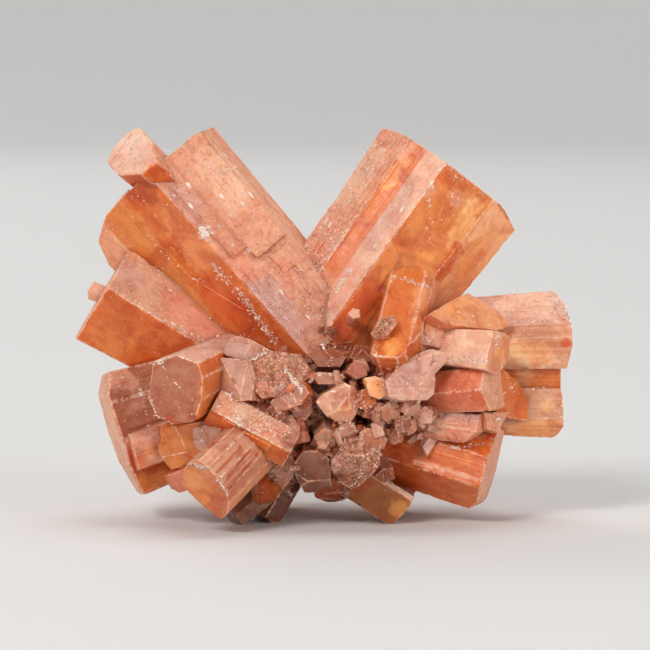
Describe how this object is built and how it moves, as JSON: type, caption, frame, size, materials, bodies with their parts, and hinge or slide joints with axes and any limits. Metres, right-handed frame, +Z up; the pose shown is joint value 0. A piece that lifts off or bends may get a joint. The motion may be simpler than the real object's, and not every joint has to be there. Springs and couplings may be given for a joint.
{
  "type": "aragonite sputnik cluster",
  "caption": "Free-standing mineral cluster of flat-ended pseudo-hexagonal prisms that radiate from one heart in all directions and rest on worn corners.",
  "frame": {"origin": "centre of the bounding box on the surface that the cluster rests on", "axes": "+Z up, -Y towards the front, where the two tall towers stand left and right, +X to the right"},
  "size_m": [0.0648, 0.0438, 0.051],
  "materials": {
    "aragonite": "satin, frosted in places"
  },
  "bodies": {
    "root": {"aragonite_cluster": "aragonite"}
  },
  "joints": []
}
